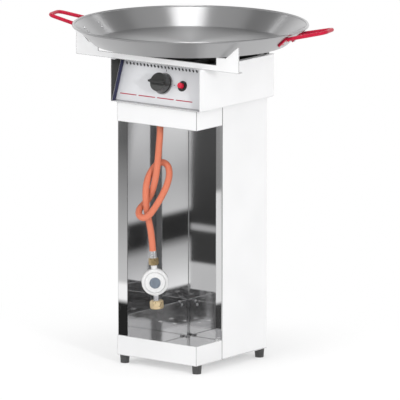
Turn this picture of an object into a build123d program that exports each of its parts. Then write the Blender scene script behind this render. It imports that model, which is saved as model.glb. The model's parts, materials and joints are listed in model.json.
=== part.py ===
from build123d import *
from math import asin, atan2, cos, degrees, hypot, pi, radians, sin, tan
import os

# A gas grill for a paella pan, on a column. Lengths are in millimetres and angles in degrees.
# The origin is on the floor under the middle of the pan, the front looks along -Y and +Z is up.

# Sheet metal
sheet = 1.2
bend = 2.0
corner_relief = 6.0

# Feet
foot_height = 22.0
foot_radius = 12.5
foot_taper = 1.5
foot_inset_side = 11.0
foot_inset_end = 17.0
foot_screw_radius = 3.0
foot_screw_head = 6.0
foot_screw_head_height = 3.0
foot_screw_depth = 14.0

# Column
column_width = 252.0
column_depth = 298.0
column_front = -140.0
column_height = 653.0
base_band = 51.0
top_band = 50.0
side_opening = 108.5
left_flange = 31.0
right_flange = 20.0
tray_rise = 96.0
tray_rivet_inset = 30.0
tray_rivet_drop = 10.0
tray_vent_radius = 7.0
tray_vent_pitch = 45.0
tray_vent_rows = 3
frame_drop = 30.0

# Burner box
box_width = 282.0
box_depth = 314.0
box_front = -147.0
box_height = 109.0
box_rim = 14.0
box_bolt_radius = 3.0
box_bolt_across = 10.0
box_bolt_head = 4.0
box_bolt_end = 3.0
box_nut_height = 5.0
box_bolt_inset = 22.0
box_bolt_end_inset = 42.0

# Control panel
panel_gap = 0.4
panel_setback = 16.0
panel_tilt = 20.0
panel_drop = 3.0
panel_foot = 18.0
panel_return = 14.0
panel_side = 15.0
panel_screw_inset = 30.0
slot_count = 24
slot_margin = 12.0
slot_length = 8.0
slot_width = 3.6
slot_lean = 132.0
slot_drop = 13.5
back_slot_height = 70.0
control_height = 54.0
igniter_offset = 60.0

# Support bars
bar_sheet = 2.0
bar_front = -140.0
bar_rear = 146.0
bar_reach = 258.0
rear_bar_inset = 1.0
bar_web = 15.0
bar_flange = 14.0
step_height = 35.5
step_length = 30.0
upstand_height = 66.0
upstand_slope_run = 37.0
upstand_tip = 4.0

# Pan
pan_radius = 300.0
pan_depth = 49.5
pan_base_radius = 246.0
pan_wall = 1.8
pan_corner = 7.0
rim_bead = 3.4
pan_seat_gap = 0.2

# Pan handles
handle_turn = 15.0
handle_rod = 4.75
handle_span = 100.0
handle_reach = 76.0
handle_tip_span = 62.0
handle_rise = 19.0
handle_corner = 18.0
handle_neck = 9.0
handle_stub = 1.2
tab_length = 36.0
tab_width = 17.0
tab_corner = 7.5
tab_thickness = 4.0
tab_gap = 0.2
rivet_radius = 2.4
rivet_head = 4.6
rivet_dome = 2.4
rivet_pitch = 14.0
rivet_offset = 5.0
rivet_seat = 0.1

# Gas tap and knob
tap_flange = 12.0
tap_flange_height = 4.0
tap_barrel = 9.0
tap_neck = 8.0
tap_end = 6.5
tap_shoulder = 36.0
tap_waist = 48.0
tap_length = 58.0
collar_radius = 6.4
collar_height = 4.0
tap_nut_across = 19.0
tap_nut_height = 3.5
inlet_depth = 16.0
inlet_radius = 8.0
outlet_depth = 26.0
outlet_rise = 18.0
outlet_radius = 8.0
outlet_length = 10.0
injector_across = 12.0
injector_body = 10.0
injector_tip = 6.0
injector_neck = 5.0
injector_nose = 2.5
spindle_radius = 4.0
spindle_flat = 2.0
spindle_back = 26.0
push_rod_radius = 2.5
push_rod_length = 14.0
push_travel = 4.0
knob_radius = 25.0
knob_skirt = 19.0
knob_draft = 1.2
knob_wall = 3.0
knob_hub = 8.0
knob_hub_recess = 2.0
knob_grip_height = 8.0
knob_grip_width = 10.0
knob_grip_corner = 3.3
knob_grip_taper = 4.0
knob_pointer = 4.0
knob_pointer_width = 5.0
bezel_radius = 27.5
bezel_inner = 15.0
bezel_height = 3.0

# Igniter
igniter_flange = 13.5
igniter_flange_height = 3.5
igniter_barrel = 9.0
igniter_length = 46.0
igniter_wall = 1.6
igniter_nut_across = 23.0
igniter_nut_height = 4.0
button_height = 10.5
button_travel = 5.0
button_skirt = 8.0
button_edge = 1.4
button_dish = 0.6

# Small screws of the panel and the bars
screw_radius = 2.0
screw_head = 4.0
screw_head_height = 2.0
screw_end = 2.4

# Clearances
running_fit = 0.08
moving_gap = 0.3
hole_gap = 0.2

# Burner
ring_radius = 80.0
ring_width = 24.0
ring_height = 22.0
ring_corner = 5.0
spoke_width = 16.0
spoke_height = 11.5
spoke_corner = 4.0
hub_radius = 14.0
port_count = 36
port_radius = 2.0
port_depth = 4.0
mixer_mouth = 16.0
mixer_throat = 9.0
mixer_tube = 12.0
mixer_wall = 2.0
mixer_gap = 6.0
mixer_bell = 14.0
mixer_turn = 13.0
mixer_straight = 2.0
mixer_rise = 3.0
leg_width = 20.0
leg_foot = 18.0
leg_tab = 18.0
leg_inset = 2.0

# Spark electrode and thermocouple
bracket_left = 18.0
bracket_width = 40.0
bracket_back = -36.0
bracket_foot = 16.0
bracket_tab = 22.0
bracket_height = 66.0
electrode_place = (38.0, -45.0)
electrode_radius = 3.5
electrode_collar = 5.0
thermocouple_place = (24.0, -49.0)
thermocouple_radius = 2.5
thermocouple_collar = 4.5
probe_below = 20.0
probe_above = 26.0
probe_collar_height = 5.0
spark_wire = 1.0
spark_bend = 2.0
spark_clear = 4.0
spark_reach = 9.0
lead_radius = 1.5
lead_bend = 7.0
lead_end = 14.0
lead_drop = 18.0
capillary_radius = 1.2
capillary_bend = 4.0

# Supply pipe, hose and regulator
hose_side = -23.0
pipe_radius = 5.0
pipe_bend = 8.0
pipe_stub = 2.0
inlet_top = 15.0
inlet_across = 24.0
inlet_collar = 8.0
inlet_neck = 7.0
spigot_radius = 6.0
spigot_drop = 14.0
spigot_engage = 6.0
hose_diameter = 17.0
ferrule_radius = 8.6
ferrule_length = 18.0
crimp_depth = 0.6
crimp_width = 2.0
nut_chamfer = 2.5
union_across = 22.0
union_height = 18.0
knot_turn = 37.2
arc_share = 0.48
regulator_neck = 10.0
regulator_neck_radius = 8.0
regulator_radius = 34.0
regulator_rim = 9.0
regulator_edge = 2.0
regulator_face = 25.0
regulator_step = 27.5
regulator_back = 22.0
regulator_depth = 18.0
regulator_cap_radius = 14.0
regulator_cap_height = 4.0
boss_radius = 10.0
stem_radius = 7.0
stem_length = 14.0
stem_flange = 9.4
stem_flange_height = 3.5
cylinder_nut_across = 30.0
cylinder_nut_height = 21.0
cylinder_nut_lip = 5.0
cylinder_thread = 10.2
cylinder_seal = 2.5

# Heights and places that follow from these sizes
half_column = column_width / 2
column_back = column_front + column_depth
column_top = foot_height + column_height
side_edge = column_front + side_opening
tray_floor = foot_height + sheet
half_box = box_width / 2
rear_bar_reach = half_box - rear_bar_inset
box_back = box_front + box_depth
box_floor = column_top + sheet
box_top = column_top + box_height
pan_bottom = box_top + step_height + pan_seat_gap
pan_top = pan_bottom + pan_depth
panel_bottom = box_front + panel_setback
control_y = panel_bottom + (control_height - sheet) * tan(radians(panel_tilt))
control_z = column_top + control_height
outward = Vector(0, -cos(radians(panel_tilt)), sin(radians(panel_tilt)))
controls = Plane(origin=(0, control_y, control_z), x_dir=(1, 0, 0), z_dir=outward)
igniter_place = controls * Pos(igniter_offset, 0, 0)


def block(x0, x1, y0, y1, z0, z1):
    """A plain block between two corners."""
    return Pos((x0 + x1) / 2, (y0 + y1) / 2, (z0 + z1) / 2) * Box(x1 - x0, y1 - y0, z1 - z0)


def rod(radius, low, high):
    """A round rod on the local Z axis."""
    return Pos(0, 0, (low + high) / 2) * Cylinder(radius, high - low)


def hex_bar(across, low, high):
    """A hexagon bar on the local Z axis, measured across its flats."""
    return extrude(Pos(0, 0, low) * RegularPolygon(across / 2, 6, major_radius=False), high - low)


def bent_sheet(plane, points, length, thickness=sheet, both=False):
    """A strip of sheet bent along the points of its middle line and extruded from a plane."""
    path = FilletPolyline(*points, radius=max(bend, thickness))
    return extrude(plane * trace(path, thickness), length, dir=plane.z_dir, both=both)


def tube(points, radii, radius):
    """A round tube along straight runs joined by arcs."""
    path = FilletPolyline(*points, radius=radii)
    return sweep(Plane(origin=path @ 0, z_dir=path % 0) * Circle(radius), path=path)


def turned(points):
    """A body turned about the local Z axis from (radius, height) points."""
    return revolve(Plane.XZ * make_face(Polyline(*points, close=True)), Axis.Z)


def chamfered_hex(across, low, high):
    """A hexagon nut without its hole, with the corners turned off at both ends."""
    corner = across / 2 / cos(radians(30))
    outline = [
        (0, low),
        (across / 2, low),
        (corner, low + nut_chamfer),
        (corner, high - nut_chamfer),
        (across / 2, high),
        (0, high),
    ]
    return hex_bar(across, low, high) & turned(outline)


def dome_radius(radius, height):
    """The radius of the ball whose cap has this edge radius and height."""
    return (radius**2 + height**2) / (2 * height)


# Column
def end_cap(band, rise):
    """The plate that closes one end of the column, with its outer band and its walls inside the shell."""
    middle = (column_front + column_back) / 2
    plate = RectangleRounded(column_width, column_depth, bend + sheet / 2)
    cap = Pos(0, middle, 0) * extrude(plate, sheet)
    edge_x = half_column - sheet / 2
    edge_y = column_front + sheet / 2
    tab_y = side_edge - sheet / 2
    band_line = [(-half_column, edge_y), (edge_x, edge_y), (edge_x, tab_y), (edge_x - right_flange, tab_y)]
    cap += bent_sheet(Plane.XY, band_line, band)
    inside = half_column - sheet
    front_end = column_front + corner_relief
    back_end = column_back - corner_relief
    cap += block(-inside, sheet - inside, front_end, back_end, 0, rise)
    cap += block(inside - sheet, inside, side_edge + corner_relief, back_end, 0, rise)
    side_end = half_column - corner_relief
    cap += block(-side_end, side_end, column_back - 2 * sheet, column_back - sheet, 0, rise)
    return cap


def foot_places():
    """The middles of the four feet."""
    x = half_column - foot_inset_side
    front = column_front + foot_inset_end
    back = column_back - foot_inset_end
    return {
        "front_left": (-x, front),
        "front_right": (x, front),
        "rear_left": (-x, back),
        "rear_right": (x, back),
    }


def rivet_places():
    """Planes of the tray rivets, on the inside faces of the left and back walls of the tray."""
    height = foot_height + tray_rise - tray_rivet_drop
    left_x = -half_column + 2 * sheet
    back_y = column_back - 2 * sheet
    places = []
    for y in (column_front + tray_rivet_inset, column_back - tray_rivet_inset):
        places.append(Plane(origin=(left_x, y, height), z_dir=(1, 0, 0)))
    for x in (tray_rivet_inset - half_column, half_column - tray_rivet_inset):
        places.append(Plane(origin=(x, back_y, height), z_dir=(0, -1, 0)))
    return places


def make_base_tray():
    """The base tray, with holes for the foot screws and the rivets and vents for heavy gas in its floor."""
    tray = Pos(0, 0, foot_height) * end_cap(base_band, tray_rise)
    for x, y in foot_places().values():
        tray -= Pos(x, y, 0) * rod(foot_screw_radius + hole_gap, foot_height, tray_floor)
    for place in rivet_places():
        tray -= place * rod(rivet_radius + hole_gap, -sheet, 0)
    vents = GridLocations(tray_vent_pitch, tray_vent_pitch, tray_vent_rows, tray_vent_rows)
    middle = Pos(0, (column_front + column_back) / 2, 0)
    return tray - [middle * place * rod(tray_vent_radius, foot_height, tray_floor) for place in vents]


def make_top_frame():
    """The top frame, the base tray's counterpart upside down, with its pipe hole and bolt holes."""
    frame = Pos(0, 0, column_top) * mirror(end_cap(top_band, frame_drop), about=Plane.XY)
    frame -= Pos(hose_side, hose_y, 0) * rod(inlet_across / 2, column_top - sheet, column_top)
    for x, y in box_bolt_places():
        frame -= Pos(x, y, 0) * rod(box_bolt_radius + hole_gap, column_top - sheet, column_top)
    return frame


def make_column_shell():
    """The C-shaped shell: left wall, back wall and rear part of the right wall, with front flanges."""
    edge_x = half_column - sheet / 2
    left_y = column_front + 1.5 * sheet
    back_y = column_back - sheet / 2
    right_y = side_edge + sheet / 2
    line = [
        (left_flange - edge_x, left_y),
        (-edge_x, left_y),
        (-edge_x, back_y),
        (edge_x, back_y),
        (edge_x, right_y),
        (edge_x - right_flange, right_y),
    ]
    shell = bent_sheet(Plane.XY.offset(tray_floor), line, column_top - sheet - tray_floor)
    for place in rivet_places():
        shell -= place * rod(rivet_radius + hole_gap, -2 * sheet, -sheet)
    return shell


def make_foot():
    """A rubber foot with a blind hole for its screw, standing on the floor."""
    shape = [
        (0, 0),
        (foot_radius - foot_taper, 0),
        (foot_radius, foot_height),
        (0, foot_height),
    ]
    return turned(shape) - rod(foot_screw_radius + hole_gap, foot_height - foot_screw_depth, foot_height)


def make_foot_screws():
    """The four screws that hold the feet from inside the tray."""
    shank = rod(foot_screw_radius, foot_height - foot_screw_depth + hole_gap, tray_floor)
    head = rod(foot_screw_head, tray_floor, tray_floor + foot_screw_head_height)
    screw = shank + head
    return [Pos(x, y, 0) * screw for x, y in foot_places().values()]


def make_tray_rivets():
    """Rivets with domed heads inside the tray."""
    head = rivet_dome_shape(0)
    shank = rod(rivet_radius, -2 * sheet, 0)
    return [place * (head + shank) for place in rivet_places()]


def rivet_dome_shape(base):
    """The domed head of a rivet, standing on a height."""
    ball = dome_radius(rivet_head, rivet_dome)
    dome = Pos(0, 0, base + rivet_dome - ball) * Sphere(ball)
    return dome & rod(rivet_head, base, base + rivet_dome)


# Burner box
def box_bolt_places():
    """The middles of the bolts between the box and the top frame."""
    x = half_column - box_bolt_inset
    rows = (column_front + box_bolt_end_inset, column_back - box_bolt_end_inset)
    return [(s * x, y) for s in (-1, 1) for y in rows]


def panel_screw_places():
    """The middles of the screws in the foot of the control panel."""
    y = panel_bottom + panel_foot / 2 + bend
    return [(s * (half_box - panel_screw_inset), y) for s in (-1, 1)]


def bar_screw_places():
    """The middles of the screws between the bars and the rim of the box."""
    x = half_box - box_rim / 2
    rows = (bar_front + bar_flange / 2, bar_rear - bar_flange / 2)
    return [(s * x, y) for s in (-1, 1) for y in rows]


def slot_row(width):
    """A row of slanted vent slots across a width, cut both ways from the local plane."""
    pitch = (width - 2 * slot_margin) / (slot_count - 1)
    slot = extrude(SlotOverall(slot_length, slot_width, rotation=slot_lean), 3 * sheet, both=True)
    return [place * slot for place in GridLocations(pitch, 1, slot_count, 1)]


def make_burner_box():
    """The box: a bent wall round three sides with air slots at the back, a floor, and a turned-in rim."""
    edge_x = half_box - sheet / 2
    back_y = box_back - sheet / 2
    line = [(-edge_x, box_front), (-edge_x, back_y), (edge_x, back_y), (edge_x, box_front)]
    box = bent_sheet(Plane.XY.offset(column_top), line, box_height)
    box += block(sheet - half_box, half_box - sheet, box_front, box_back - sheet, column_top, box_floor)
    middle = (box_front + box_back) / 2
    rim = Pos(0, middle) * RectangleRounded(box_width, box_depth, bend + sheet / 2)
    rim -= Pos(0, middle - box_rim) * Rectangle(box_width - 2 * box_rim, box_depth)
    box += Pos(0, 0, box_top - sheet) * extrude(rim, sheet)
    back = Plane(origin=(0, back_y, column_top + back_slot_height), x_dir=(1, 0, 0), z_dir=(0, -1, 0))
    box -= [back * slot for slot in slot_row(box_width)]
    box -= Pos(hose_side, hose_y, 0) * rod(spigot_radius + hole_gap, column_top, box_floor)
    for x, y in box_bolt_places():
        box -= Pos(x, y, 0) * rod(box_bolt_radius + hole_gap, column_top, box_floor)
    for x, y in panel_screw_places():
        box -= Pos(x, y, 0) * rod(screw_radius + hole_gap, column_top, box_floor)
    for x, y in bar_screw_places():
        box -= Pos(x, y, 0) * rod(screw_radius + hole_gap, box_top - sheet, box_top)
    return box


def make_box_bolts():
    """Hexagon bolts from inside the box down through the top frame."""
    low = column_top - sheet - box_nut_height - box_bolt_end
    bolt = rod(box_bolt_radius, low, box_floor)
    bolt += hex_bar(box_bolt_across, box_floor, box_floor + box_bolt_head)
    return [Pos(x, y, 0) * bolt for x, y in box_bolt_places()]


def make_box_nuts():
    """The nuts of those bolts, under the top frame."""
    high = column_top - sheet
    low = high - box_nut_height
    nut = hex_bar(box_bolt_across, low, high) - rod(box_bolt_radius + running_fit, low, high)
    return [Pos(x, y, 0) * nut for x, y in box_bolt_places()]


# Control panel
def make_control_panel():
    """The slanted panel: a bent strip with a foot and a return behind it and a flange forward at each side."""
    lean = tan(radians(panel_tilt))
    behind = sheet / 2 / cos(radians(panel_tilt))
    low = box_floor + sheet / 2
    high = box_top - panel_drop - sheet / 2
    low_y = panel_bottom + (low - box_floor) * lean + behind
    high_y = panel_bottom + (high - box_floor) * lean + behind
    line = [(low_y + panel_foot, low), (low_y, low), (high_y, high), (high_y + panel_return, high)]
    half_width = half_box - sheet - panel_gap
    panel = bent_sheet(Plane.YZ, line, half_width, both=True)
    top_z = high + sheet / 2
    top_y = panel_bottom + (top_z - box_floor) * lean + behind
    side_outline = Polyline(
        (panel_bottom + behind, box_floor),
        (top_y, top_z),
        (top_y - panel_side, top_z),
        (panel_bottom + behind - panel_side, box_floor),
        close=True,
    )
    side = extrude(Plane.YZ.offset(half_width - sheet) * make_face(side_outline), sheet)
    panel += [side, mirror(side, about=Plane.YZ)]
    hole = rod(collar_radius + hole_gap, -2 * sheet, sheet)
    hole += Pos(igniter_offset, 0, 0) * rod(igniter_barrel + hole_gap, -2 * sheet, sheet)
    panel -= controls * hole
    slot_height = (box_height - panel_drop - control_height) / cos(radians(panel_tilt)) - slot_drop
    panel -= [controls * Pos(0, slot_height, 0) * slot for slot in slot_row(2 * half_width)]
    for x, y in panel_screw_places():
        panel -= Pos(x, y, 0) * rod(screw_radius + hole_gap, box_floor, box_floor + sheet)
    return panel


def make_panel_screws():
    """The screws that hold the foot of the panel to the floor of the box."""
    top = box_floor + sheet
    screw = rod(screw_radius, column_top, top) + rod(screw_head, top, top + screw_head_height)
    return [Pos(x, y, 0) * screw for x, y in panel_screw_places()]


# Support bars
def bar_solid(half_outline, face, inward):
    """A bar cut to a mirrored outline, with a flange at its foot turned inward."""
    points = half_outline + [(-x, z) for x, z in reversed(half_outline)]
    outline = make_face(Polyline(*points, close=True))
    web = extrude(Plane.XZ * outline, bar_sheet, dir=(0, inward, 0))
    reach = half_outline[0][0]
    flange = block(-reach, reach, min(0, inward * bar_flange), max(0, inward * bar_flange), 0, bar_sheet)
    bar = Pos(0, face, box_top) * (web + flange)
    for x, y in bar_screw_places():
        bar -= Pos(x, y, 0) * rod(screw_radius + hole_gap, box_top, box_top + bar_sheet)
    return bar


def make_front_bar():
    """The long front bar, with a step for the pan and a sloped upstand at each end."""
    step_end = bar_reach - upstand_tip - upstand_slope_run
    outline = [
        (bar_reach, 0),
        (bar_reach, upstand_height),
        (bar_reach - upstand_tip, upstand_height),
        (step_end, step_height),
        (step_end - step_length, step_height),
        (step_end - step_length, bar_web),
    ]
    return bar_solid(outline, bar_front, 1)


def make_rear_bar():
    """The short rear bar, as wide as the box, with a step at each end."""
    outline = [
        (rear_bar_reach, 0),
        (rear_bar_reach, step_height),
        (rear_bar_reach - step_length, step_height),
        (rear_bar_reach - step_length, bar_web),
    ]
    return bar_solid(outline, bar_rear, -1)


def make_bar_screws():
    """The screws that hold the bars on the rim of the box."""
    top = box_top + bar_sheet
    screw = rod(screw_radius, box_top - sheet - screw_end, top)
    screw += rod(screw_head, top, top + screw_head_height)
    return [Pos(x, y, 0) * screw for x, y in bar_screw_places()]


# Pan
wall_run = pan_radius - rim_bead - pan_base_radius
wall_rise = pan_depth - rim_bead
wall_slope = degrees(atan2(wall_rise, wall_run))


def wall_plane(along, turn):
    """A place on the outer face of the pan's wall, a distance up the slope, looking outward."""
    slope = radians(wall_slope)
    radius = pan_base_radius + along * cos(slope)
    height = pan_bottom + along * sin(slope)
    facing = Plane(origin=(radius, 0, height), x_dir=(0, 1, 0), z_dir=(sin(slope), 0, -cos(slope)))
    return Rot(0, 0, turn) * facing.location


def tab_turns():
    """The turns of the four handle tabs about the axis of the pan."""
    half = degrees(asin(handle_span / 2 / (pan_base_radius + wall_run)))
    middles = {"right": handle_turn, "left": handle_turn + 180}
    return {side: (turn - half, turn + half) for side, turn in middles.items()}


tab_top = hypot(wall_run, wall_rise) - rim_bead - handle_neck
tab_middle = tab_top - tab_length / 2


def handle_rivet_places(side):
    """Planes of the rivets of one handle, on the outer face of the wall."""
    middle = tab_middle - rivet_offset
    places = (middle - rivet_pitch / 2, middle + rivet_pitch / 2)
    return [wall_plane(along, turn) for turn in tab_turns()[side] for along in places]


def make_pan():
    """The pan: a flat base, a sloped wall and a rolled rim, with holes for the rivets of the handles."""
    slope = radians(wall_slope)
    across = pan_wall * tan(slope / 2)
    rim_x = pan_base_radius + wall_run
    rim_z = pan_bottom + wall_rise
    step_x = pan_wall * sin(slope)
    step_z = pan_wall * cos(slope)
    outline = Polyline(
        (0, pan_bottom),
        (pan_base_radius, pan_bottom),
        (rim_x, rim_z),
        (rim_x - step_x, rim_z + step_z),
        (pan_base_radius - across, pan_bottom + pan_wall),
        (0, pan_bottom + pan_wall),
        close=True,
    )
    section = make_face(outline)
    lower = section.vertices().filter_by(lambda v: abs(v.X - pan_base_radius) < 1e-6)
    section = fillet(lower, pan_corner + pan_wall)
    upper = section.vertices().filter_by(lambda v: abs(v.X - pan_base_radius + across) < 1e-6)
    section = fillet(upper, pan_corner)
    section += Pos(rim_x, rim_z) * Circle(rim_bead)
    pan = revolve(Plane.XZ * section, Axis.Z)
    for side in tab_turns():
        for place in handle_rivet_places(side):
            pan -= place * rod(rivet_radius + running_fit, -4 * pan_wall, pan_wall)
    return pan


def make_handle(side):
    """One rod handle: a bent rod between two flattened tabs on the wall of the pan."""
    tabs = tab_turns()[side]
    middle = sum(tabs) / 2
    stand_off = tab_gap + handle_rod
    stub = handle_stub + handle_neck * tan(radians(wall_slope) / 2)
    roots = [wall_plane(tab_top - stub, turn) * Pos(0, 0, stand_off) for turn in tabs]
    necks = [wall_plane(tab_top, turn) * Pos(0, 0, stand_off) for turn in tabs]
    neck_z = necks[0].position.Z
    outer = Rot(0, 0, middle) * Pos(pan_radius + handle_reach, 0, neck_z + handle_rise)
    corners = [outer * Pos(0, s * handle_tip_span / 2, 0) for s in (-1, 1)]
    route = [roots[0], necks[0], corners[0], corners[1], necks[1], roots[1]]
    bends = [handle_neck, handle_corner, handle_corner, handle_neck]
    handle = tube([p.position for p in route], bends, handle_rod)
    for turn in tabs:
        plate = RectangleRounded(tab_width, tab_length, tab_corner)
        handle += wall_plane(tab_middle, turn) * Pos(0, 0, tab_gap) * extrude(plate, tab_thickness)
    for place in handle_rivet_places(side):
        handle -= place * rod(rivet_radius + running_fit, 0, 2 * tab_thickness + tab_gap)
    return handle


def make_handle_rivets():
    """The rivets of both handles, with domed heads inside the pan and outside the tabs."""
    outside = tab_gap + tab_thickness
    inside = pan_wall + rivet_seat
    rivet = rod(rivet_radius, -inside, outside)
    rivet += rivet_dome_shape(outside)
    rivet += mirror(rivet_dome_shape(inside), about=Plane.XY)
    return [place * rivet for side in tab_turns() for place in handle_rivet_places(side)]


# Gas tap and knob, on the axis of the knob with the panel's front face at zero
back_of_panel = -sheet
knob_base = bezel_height + push_travel + moving_gap
spindle_top = knob_base + knob_skirt
tap_inlet = controls * Pos(0, 0, back_of_panel - inlet_depth)
tap_outlet = controls * Pos(0, outlet_rise, back_of_panel - outlet_depth)
hose_y = tap_inlet.position.Y
inlet_z = tap_inlet.position.Z
burner_z = tap_outlet.position.Z
inlet_end = hose_side + pipe_bend + pipe_stub
injector_y = tap_outlet.position.Y + outlet_length


def make_gas_tap():
    """The tap body: a stepped barrel behind the panel with an inlet at its side and an outlet on top."""
    shape = [
        (0, collar_height),
        (collar_radius, collar_height),
        (collar_radius, back_of_panel),
        (tap_flange, back_of_panel),
        (tap_flange, back_of_panel - tap_flange_height),
        (tap_barrel, back_of_panel - tap_flange_height),
        (tap_barrel, -tap_shoulder),
        (tap_neck, -tap_shoulder),
        (tap_neck, -tap_waist),
        (tap_end, -tap_waist),
        (tap_end, -tap_length),
        (0, -tap_length),
    ]
    body = controls * turned(shape)
    body += Pos(inlet_end / 2, hose_y, inlet_z) * Rot(0, 90, 0) * Cylinder(inlet_radius, -inlet_end)
    riser = Pos(0, 0, back_of_panel - outlet_depth) * Rot(-90, 0, 0) * rod(outlet_radius, 0, outlet_rise)
    body += controls * riser
    outlet = Pos(0, tap_outlet.position.Y, burner_z)
    body += outlet * Sphere(outlet_radius)
    body += outlet * Rot(-90, 0, 0) * rod(outlet_radius, 0, outlet_length)
    bore = rod(spindle_radius + running_fit, -spindle_back - push_travel - moving_gap, collar_height)
    bore_end = -spindle_back - push_rod_length - push_travel - 2 * moving_gap
    bore += rod(push_rod_radius + running_fit, bore_end, 0)
    return body - controls * bore


def make_tap_nut():
    """The thin nut that clamps the tap to the panel, under the knob."""
    nut = hex_bar(tap_nut_across, 0, tap_nut_height)
    return controls * (nut - rod(collar_radius + running_fit, 0, tap_nut_height))


def make_injector():
    """The injector in the tap's outlet, aimed at the mouth of the mixing tube."""
    body = hex_bar(injector_across, 0, injector_body)
    cone = [(0, 0), (injector_neck, 0), (injector_nose, injector_tip), (0, injector_tip)]
    body += Pos(0, 0, injector_body) * turned(cone)
    return Pos(0, injector_y, burner_z) * Rot(-90, 0, 0) * body


def make_tap_spindle():
    """The spindle with a flat for the knob."""
    spindle = rod(spindle_radius, -spindle_back, spindle_top)
    flat = block(-spindle_radius, spindle_radius, spindle_flat, spindle_radius, knob_base, spindle_top)
    return controls * (spindle - flat)


def make_push_rod():
    """The rod that the spindle pushes to open the flame safety valve."""
    high = -spindle_back - moving_gap
    return controls * rod(push_rod_radius, high - push_rod_length, high)


def make_control_knob():
    """The knob: a hollow skirt, a grip ridge across it with a pointer at one end, and a hub."""
    top = knob_base + knob_skirt
    skirt = [(0, knob_base), (knob_radius, knob_base), (knob_radius - knob_draft, top), (0, top)]
    knob = turned(skirt)
    knob = fillet(knob.edges().group_by(Axis.Z)[-1], knob_draft)
    cavity = rod(knob_radius - knob_draft - knob_wall, knob_base, top - knob_wall)
    cavity -= rod(knob_hub, knob_base + knob_hub_recess, top - knob_wall)
    knob -= cavity
    half_grip = knob_radius - knob_draft - knob_wall / 2
    ridge = Pos(0, 0, top - knob_wall) * RectangleRounded(2 * half_grip, knob_grip_width, knob_grip_corner)
    grip = extrude(ridge, knob_grip_height + knob_wall, taper=knob_grip_taper)
    grip = fillet(grip.edges().group_by(Axis.Z)[-1], knob_draft)
    tip = -knob_radius - knob_pointer
    side = knob_pointer_width / 2
    pointer = block(tip, knob_wall - half_grip, -side, side, top - knob_wall, top + knob_wall)
    knob += grip + pointer
    shaft = rod(spindle_radius + running_fit, knob_base, top + running_fit)
    flat_y = spindle_flat + running_fit
    shaft -= block(-knob_hub, knob_hub, flat_y, knob_hub, knob_base, top + running_fit)
    return controls * (knob - shaft)


def make_knob_bezel():
    """The ring on the panel round the knob."""
    shape = [
        (bezel_inner, 0),
        (bezel_radius, 0),
        (bezel_radius, bezel_height / 2),
        (bezel_radius - bezel_height / 2, bezel_height),
        (bezel_inner, bezel_height),
    ]
    return controls * turned(shape)


# Igniter
button_radius = igniter_barrel - igniter_wall - moving_gap


def make_igniter_housing():
    """The igniter's moulded housing: a flange on the panel and a barrel behind it, open for the button."""
    shape = [
        (0, -igniter_length),
        (igniter_barrel, -igniter_length),
        (igniter_barrel, 0),
        (igniter_flange, 0),
        (igniter_flange, igniter_flange_height / 2),
        (igniter_flange - igniter_flange_height / 2, igniter_flange_height),
        (0, igniter_flange_height),
    ]
    bore_end = -button_skirt - button_travel - moving_gap
    bore = rod(igniter_barrel - igniter_wall, bore_end, igniter_flange_height)
    return igniter_place * (turned(shape) - bore)


def make_igniter_nut():
    """The nut that clamps the igniter from behind the panel."""
    low = back_of_panel - igniter_nut_height
    nut = hex_bar(igniter_nut_across, low, back_of_panel)
    return igniter_place * (nut - rod(igniter_barrel + running_fit, low, back_of_panel))


def make_igniter_button():
    """The push button with a dished face."""
    top = igniter_flange_height + button_height
    button = rod(button_radius, -button_skirt, top)
    button = fillet(button.edges().group_by(Axis.Z)[-1], button_edge)
    ball = dome_radius(button_radius - button_edge, button_dish)
    return igniter_place * (button - Pos(0, 0, top - button_dish + ball) * Sphere(ball))


# Burner
ring_low = burner_z + mixer_turn + mixer_rise
ring_top = ring_low + ring_height
ring_z = ring_low + ring_height / 2
mouth_y = injector_y + injector_body + injector_tip + mixer_gap
throat_y = mouth_y + mixer_bell
mixer_y = -mixer_turn - mixer_straight


def make_burner_ring():
    """The cast ring burner with a spoke across it, flame ports on top and a socket under its hub."""
    section = Pos(ring_radius, ring_z) * RectangleRounded(ring_width, ring_height, ring_corner)
    ring = revolve(Plane.XZ * section, Axis.Z)
    spoke = extrude(RectangleRounded(spoke_width, spoke_height, spoke_corner), ring_radius, both=True)
    ring += Pos(0, 0, ring_z) * Rot(90, 0, 0) * spoke
    ring += rod(hub_radius, ring_low, ring_z + spoke_height / 2)
    port = rod(port_radius, ring_top - port_depth, ring_top)
    ring -= [place * port for place in PolarLocations(ring_radius, port_count)]
    return ring - rod(mixer_tube - mixer_wall, ring_low, ring_low + port_depth)


def make_mixing_tube():
    """The mixing tube: a bell mouth, a throat and a bend up to the middle of the ring."""
    outer = [(mixer_mouth, mouth_y), (mixer_throat, throat_y), (mixer_tube, mixer_y)]
    inner = [(r - mixer_wall, y) for r, y in reversed(outer)]
    bell = revolve(make_face(Polyline(*outer, *inner, close=True)), Axis.Y)
    line = [(0, mixer_y, burner_z), (0, 0, burner_z), (0, 0, ring_low)]
    elbow = tube(line, mixer_turn, mixer_tube)
    return Pos(0, 0, burner_z) * bell + elbow - tube(line, mixer_turn, mixer_tube - mixer_wall)


def make_burner_leg(side):
    """A bent leg from the floor of the box to the underside of the ring."""
    x = ring_radius + leg_inset
    low = box_floor + sheet / 2
    high = ring_low - sheet / 2
    line = [(side * (x + leg_foot), low), (side * x, low), (side * x, high), (side * (x - leg_tab), high)]
    return bent_sheet(Plane.XZ, line, leg_width / 2, both=True)


# Spark electrode and thermocouple
tab_z = box_floor + bracket_height


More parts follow.
